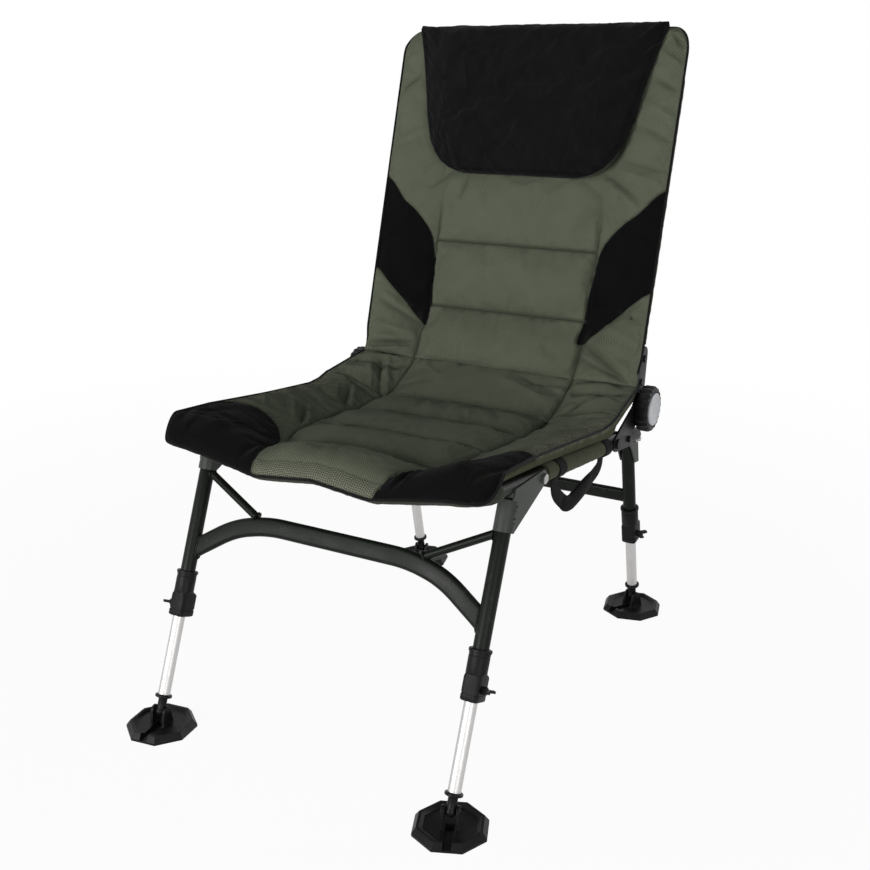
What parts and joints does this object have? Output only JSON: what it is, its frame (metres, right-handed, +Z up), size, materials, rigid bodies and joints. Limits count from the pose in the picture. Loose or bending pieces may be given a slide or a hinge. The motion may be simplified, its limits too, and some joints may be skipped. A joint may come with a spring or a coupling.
{
  "type": "carp fishing chair",
  "caption": "Folding low fishing chair with a reclining padded back, padded seat and headrest on a steel tube frame, with telescopic legs and tilting round feet.",
  "frame": {"origin": "on the ground under the middle of the chair's box", "axes": "+Z up, the sitter faces -Y, +X to the right of a viewer who stands in front of the chair"},
  "size_m": [0.5984, 0.8324, 1.0081],
  "materials": {
    "painted_steel": "dark green-black gloss paint",
    "grey_steel": "grey-green satin paint",
    "black_steel": "black satin paint",
    "aluminium": "bright drawn tube",
    "zinc_steel": "zinc plated",
    "black_plastic": "moulded, fine texture",
    "grey_plastic": "moulded, smooth",
    "green_cloth": "grey-olive coated polyester, fine twill",
    "black_cloth": "black polyester",
    "webbing": "woven black webbing"
  },
  "bodies": {
    "seat_frame": {"seat_rail_left": "painted_steel", "seat_rail_right": "painted_steel", "seat_front_bow": "painted_steel", "seat_rear_bar": "painted_steel", "seat_sling": "green_cloth", "seat_pad": "green_cloth", "corner_pad": "green_cloth", "hinge_plate_left": "black_steel", "hinge_plate_right": "black_steel", "recline_bolt_left": "zinc_steel", "recline_bolt_right": "zinc_steel", "carry_strap": "webbing", "rear_bracket_left": "grey_steel", "rear_bracket_right": "grey_steel", "rear_pivot_bolt_left": "zinc_steel", "rear_pivot_bolt_right": "zinc_steel", "front_pivot_bolt_left": "zinc_steel", "front_pivot_bolt_right": "zinc_steel"},
    "back": {"back_frame": "painted_steel", "back_arm_left": "black_steel", "back_arm_right": "black_steel", "back_sling": "green_cloth", "back_pad": "green_cloth", "headrest": "black_cloth"},
    "knob_left": {"recline_knob_left": "black_plastic", "knob_disc_left": "grey_plastic"},
    "knob_right": {"recline_knob_right": "black_plastic", "knob_disc_right": "grey_plastic"},
    "front_legs": {"front_leg_left": "painted_steel", "front_leg_right": "painted_steel", "front_sleeve_left": "black_plastic", "front_sleeve_right": "black_plastic", "front_arch": "painted_steel", "arch_strut_left": "painted_steel", "arch_strut_right": "painted_steel", "front_gusset_left": "grey_steel", "front_gusset_right": "grey_steel"},
    "rear_legs": {"rear_leg_left": "painted_steel", "rear_leg_right": "painted_steel", "rear_sleeve_left": "black_plastic", "rear_sleeve_right": "black_plastic", "rear_crossbar": "painted_steel"},
    "front_left_inner": {"front_inner_leg_left": "aluminium", "front_foot_plug_left": "black_plastic"},
    "front_left_foot": {"front_foot_left": "black_plastic"},
    "front_left_screw": {"front_wing_screw_left": "black_plastic"},
    "front_right_inner": {"front_inner_leg_right": "aluminium", "front_foot_plug_right": "black_plastic"},
    "front_right_foot": {"front_foot_right": "black_plastic"},
    "front_right_screw": {"front_wing_screw_right": "black_plastic"},
    "rear_left_inner": {"rear_inner_leg_left": "aluminium", "rear_foot_plug_left": "black_plastic"},
    "rear_left_foot": {"rear_foot_left": "black_plastic"},
    "rear_left_screw": {"rear_wing_screw_left": "black_plastic"},
    "rear_right_inner": {"rear_inner_leg_right": "aluminium", "rear_foot_plug_right": "black_plastic"},
    "rear_right_foot": {"rear_foot_right": "black_plastic"},
    "rear_right_screw": {"rear_wing_screw_right": "black_plastic"}
  },
  "joints": [
    {"name": "recline", "type": "hinge", "parent": "seat_frame", "child": "back", "pos_m": [-0.00084, 0.23835, 0.41901], "axis": [1, 0, 0], "range_deg": [-35, 75], "deforming": ["corner_pad"]},
    {"name": "front_fold", "type": "hinge", "parent": "seat_frame", "child": "front_legs", "pos_m": [-0.00084, -0.13369, 0.41408], "axis": [1, 0, 0], "range_deg": [0, 76]},
    {"name": "rear_fold", "type": "hinge", "parent": "seat_frame", "child": "rear_legs", "pos_m": [-0.00084, 0.29288, 0.34801], "axis": [-1, 0, 0], "range_deg": [0, 90]},
    {"name": "knob_turn_left", "type": "hinge", "parent": "seat_frame", "child": "knob_left", "pos_m": [-0.26294, 0.23835, 0.41901], "axis": [-1, 0, 0], "continuous": true},
    {"name": "knob_turn_right", "type": "hinge", "parent": "seat_frame", "child": "knob_right", "pos_m": [0.26126, 0.23835, 0.41901], "axis": [1, 0, 0], "continuous": true},
    {"name": "front_left_height", "type": "slide", "parent": "front_legs", "child": "front_left_inner", "axis": [0, 0.373, 0.9278], "range_m": [-0.08, 0.09]},
    {"name": "front_left_foot_tilt", "type": "hinge", "parent": "front_left_inner", "child": "front_left_foot", "pos_m": [-0.24784, -0.36312, 0.027], "axis": [0.9903, 0.1392, 0], "range_deg": [-40, 40]},
    {"name": "front_left_screw_turn", "type": "hinge", "parent": "front_legs", "child": "front_left_screw", "pos_m": [-0.24784, -0.30296, 0.17666], "axis": [-1, 0, 0], "continuous": true},
    {"name": "front_right_height", "type": "slide", "parent": "front_legs", "child": "front_right_inner", "axis": [0, 0.373, 0.9278], "range_m": [-0.08, 0.09]},
    {"name": "front_right_foot_tilt", "type": "hinge", "parent": "front_right_inner", "child": "front_right_foot", "pos_m": [0.24616, -0.36312, 0.027], "axis": [0.9205, 0.3907, 0], "range_deg": [-40, 40]},
    {"name": "front_right_screw_turn", "type": "hinge", "parent": "front_legs", "child": "front_right_screw", "pos_m": [0.24616, -0.30296, 0.17666], "axis": [1, 0, 0], "continuous": true},
    {"name": "rear_left_height", "type": "slide", "parent": "rear_legs", "child": "rear_left_inner", "axis": [0, -0.2147, 0.9767], "range_m": [-0.06, 0.07]},
    {"name": "rear_left_foot_tilt", "type": "hinge", "parent": "rear_left_inner", "child": "rear_left_foot", "pos_m": [-0.22274, 0.36346, 0.027], "axis": [0.9613, 0.2756, 0], "range_deg": [-40, 40]},
    {"name": "rear_left_screw_turn", "type": "hinge", "parent": "rear_legs", "child": "rear_left_screw", "pos_m": [-0.22274, 0.33398, 0.1611], "axis": [-1, 0, 0], "continuous": true},
    {"name": "rear_right_height", "type": "slide", "parent": "rear_legs", "child": "rear_right_inner", "axis": [0, -0.2147, 0.9767], "range_m": [-0.06, 0.07]},
    {"name": "rear_right_foot_tilt", "type": "hinge", "parent": "rear_right_inner", "child": "rear_right_foot", "pos_m": [0.22106, 0.36346, 0.027], "axis": [0.866, -0.5, 0], "range_deg": [-40, 40]},
    {"name": "rear_right_screw_turn", "type": "hinge", "parent": "rear_legs", "child": "rear_right_screw", "pos_m": [0.22106, 0.33398, 0.1611], "axis": [1, 0, 0], "continuous": true}
  ]
}
